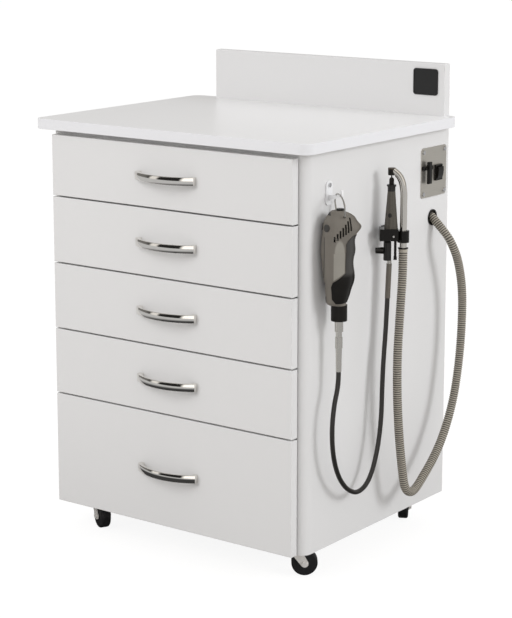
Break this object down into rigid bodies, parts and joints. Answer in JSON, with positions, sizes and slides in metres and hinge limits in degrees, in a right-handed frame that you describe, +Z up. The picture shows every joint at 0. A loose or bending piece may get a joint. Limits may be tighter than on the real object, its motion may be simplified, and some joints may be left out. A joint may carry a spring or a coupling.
{
  "type": "mobile clinic drawer cabinet",
  "caption": "White drawer cabinet on swivel casters with bow handles, worktop and backsplash, side-hung motor tool, ribbed suction hose and clamped handpiece.",
  "frame": {"origin": "on the floor, under the middle of the whole cabinet's box measured without its hoses", "axes": "+Z up, +X to the right seen from the front, -Y out of the drawer fronts"},
  "size_m": [0.6962, 0.538, 0.937],
  "materials": {
    "white_board": "semi-matt white laminate on board",
    "edge_band": "satin white edge band",
    "drawer_box_grey": "grey painted drawer box, board bottom with thin steel sides",
    "zinc_steel": "zinc-plated slide steel",
    "chrome": "polished chrome",
    "stainless": "brushed stainless",
    "tyre_black": "hard black rubber",
    "black_plastic": "black moulded plastic",
    "white_plastic": "white moulded plastic",
    "tool_grey": "grey-brown moulded tool body",
    "handpiece_grey": "dark grey anodised body",
    "hose_grey": "grey ribbed hose",
    "badge_black": "blank dark plate"
  },
  "bodies": {
    "cabinet": {"left_side_panel": "white_board", "right_side_panel": "white_board", "bottom_panel": "white_board", "back_panel": "white_board", "inner_boards": "white_board", "worktop": "white_board", "worktop_edge_band": "edge_band", "backsplash": "white_board", "badge": "badge_black", "slide_outer_members": "zinc_steel", "caster_plates": "zinc_steel", "mounting_screws": "zinc_steel", "service_plate": "stainless", "switch_housings": "black_plastic", "hose_grommet": "black_plastic", "tool_hook": "white_plastic", "clamp_block": "black_plastic", "suction_unit": "black_plastic", "suction_tube": "chrome", "suction_fittings": "black_plastic", "suction_hose": "hose_grey", "flexible_shaft": "black_plastic", "handpiece_body": "handpiece_grey", "tool_shell": "tool_grey", "tool_grip": "black_plastic", "tool_bail": "zinc_steel", "tool_motor_and_couplings": "chrome"},
    "clamp_knob": {"clamp_knob": "black_plastic"},
    "handpiece_chuck": {"handpiece_chuck": "zinc_steel"},
    "switch_lever": {"switch_lever": "black_plastic"},
    "switch_rocker": {"switch_rocker": "black_plastic"},
    "tool_speed_dial": {"tool_speed_dial": "black_plastic"},
    "drawer_1": {"drawer_front_1": "white_board", "drawer_box_1": "drawer_box_grey", "drawer_handle_1": "chrome"},
    "slide_1": {"slide_middle_1": "zinc_steel"},
    "drawer_2": {"drawer_front_2": "white_board", "drawer_box_2": "drawer_box_grey", "drawer_handle_2": "chrome"},
    "slide_2": {"slide_middle_2": "zinc_steel"},
    "drawer_3": {"drawer_front_3": "white_board", "drawer_box_3": "drawer_box_grey", "drawer_handle_3": "chrome"},
    "slide_3": {"slide_middle_3": "zinc_steel"},
    "drawer_4": {"drawer_front_4": "white_board", "drawer_box_4": "drawer_box_grey", "drawer_handle_4": "chrome"},
    "slide_4": {"slide_middle_4": "zinc_steel"},
    "drawer_5": {"drawer_front_5": "white_board", "drawer_box_5": "drawer_box_grey", "drawer_handle_5": "chrome"},
    "slide_5": {"slide_middle_5": "zinc_steel"},
    "fork_front_right": {"caster_fork_front_right": "zinc_steel"},
    "wheel_front_right": {"caster_wheel_front_right": "tyre_black"},
    "fork_front_left": {"caster_fork_front_left": "zinc_steel"},
    "wheel_front_left": {"caster_wheel_front_left": "tyre_black"},
    "fork_rear_right": {"caster_fork_rear_right": "zinc_steel"},
    "wheel_rear_right": {"caster_wheel_rear_right": "tyre_black"},
    "fork_rear_left": {"caster_fork_rear_left": "zinc_steel"},
    "wheel_rear_left": {"caster_wheel_rear_left": "tyre_black"}
  },
  "joints": [
    {"name": "drawer_1_slide", "type": "slide", "parent": "cabinet", "child": "drawer_1", "axis": [0, -1, 0], "range_m": [0, 0.34]},
    {"name": "slide_1_middle", "type": "slide", "parent": "cabinet", "child": "slide_1", "axis": [0, -1, 0], "range_m": [0, 0.17]},
    {"name": "drawer_2_slide", "type": "slide", "parent": "cabinet", "child": "drawer_2", "axis": [0, -1, 0], "range_m": [0, 0.34]},
    {"name": "slide_2_middle", "type": "slide", "parent": "cabinet", "child": "slide_2", "axis": [0, -1, 0], "range_m": [0, 0.17]},
    {"name": "drawer_3_slide", "type": "slide", "parent": "cabinet", "child": "drawer_3", "axis": [0, -1, 0], "range_m": [0, 0.34]},
    {"name": "slide_3_middle", "type": "slide", "parent": "cabinet", "child": "slide_3", "axis": [0, -1, 0], "range_m": [0, 0.17]},
    {"name": "drawer_4_slide", "type": "slide", "parent": "cabinet", "child": "drawer_4", "axis": [0, -1, 0], "range_m": [0, 0.34]},
    {"name": "slide_4_middle", "type": "slide", "parent": "cabinet", "child": "slide_4", "axis": [0, -1, 0], "range_m": [0, 0.17]},
    {"name": "drawer_5_slide", "type": "slide", "parent": "cabinet", "child": "drawer_5", "axis": [0, -1, 0], "range_m": [0, 0.34]},
    {"name": "slide_5_middle", "type": "slide", "parent": "cabinet", "child": "slide_5", "axis": [0, -1, 0], "range_m": [0, 0.17]},
    {"name": "caster_swivel_front_right", "type": "hinge", "parent": "cabinet", "child": "fork_front_right", "pos_m": [0.22267, -0.1675, 0.055], "axis": [0, 0, 1], "continuous": true},
    {"name": "caster_roll_front_right", "type": "hinge", "parent": "fork_front_right", "child": "wheel_front_right", "pos_m": [0.23875, -0.1556, 0.025], "axis": [-0.5948, 0.8039, 0], "continuous": true},
    {"name": "caster_swivel_front_left", "type": "hinge", "parent": "cabinet", "child": "fork_front_left", "pos_m": [-0.26433, -0.1675, 0.055], "axis": [0, 0, 1], "continuous": true},
    {"name": "caster_roll_front_left", "type": "hinge", "parent": "fork_front_left", "child": "wheel_front_left", "pos_m": [-0.24675, -0.17704, 0.025], "axis": [0.4772, 0.8788, 0], "continuous": true},
    {"name": "caster_swivel_rear_right", "type": "hinge", "parent": "cabinet", "child": "fork_rear_right", "pos_m": [0.22267, 0.2175, 0.055], "axis": [0, 0, 1], "continuous": true},
    {"name": "caster_roll_rear_right", "type": "hinge", "parent": "fork_rear_right", "child": "wheel_rear_right", "pos_m": [0.21297, 0.23499, 0.025], "axis": [-0.8746, -0.4848, 0], "continuous": true},
    {"name": "caster_swivel_rear_left", "type": "hinge", "parent": "cabinet", "child": "fork_rear_left", "pos_m": [-0.26433, 0.2175, 0.055], "axis": [0, 0, 1], "continuous": true},
    {"name": "caster_roll_rear_left", "type": "hinge", "parent": "fork_rear_left", "child": "wheel_rear_left", "pos_m": [-0.25433, 0.23482, 0.025], "axis": [-0.866, 0.5, 0], "continuous": true},
    {"name": "chuck_spin", "type": "hinge", "parent": "cabinet", "child": "handpiece_chuck", "pos_m": [0.31417, 0.0145, 0.738], "axis": [0, 0, 1], "continuous": true},
    {"name": "clamp_knob_turn", "type": "hinge", "parent": "cabinet", "child": "clamp_knob", "pos_m": [0.29809, 0.0026, 0.606], "axis": [-0.8039, -0.5948, 0], "continuous": true},
    {"name": "lever_tilt", "type": "hinge", "parent": "cabinet", "child": "switch_lever", "pos_m": [0.28977, 0.184, 0.74], "axis": [0, -1, 0], "range_deg": [0, 18]},
    {"name": "rocker_tilt", "type": "hinge", "parent": "cabinet", "child": "switch_rocker", "pos_m": [0.28717, 0.227, 0.727], "axis": [0, -1, 0], "range_deg": [0, 16]},
    {"name": "speed_dial_turn", "type": "hinge", "parent": "cabinet", "child": "tool_speed_dial", "pos_m": [0.31713, -0.16062, 0.708], "axis": [0, 0, 1], "range_deg": [0, 270]}
  ],
  "couplings": [
    {"joint": "slide_1_middle", "follows": "drawer_1_slide", "ratio": 0.5},
    {"joint": "slide_2_middle", "follows": "drawer_2_slide", "ratio": 0.5},
    {"joint": "slide_3_middle", "follows": "drawer_3_slide", "ratio": 0.5},
    {"joint": "slide_4_middle", "follows": "drawer_4_slide", "ratio": 0.5},
    {"joint": "slide_5_middle", "follows": "drawer_5_slide", "ratio": 0.5}
  ]
}
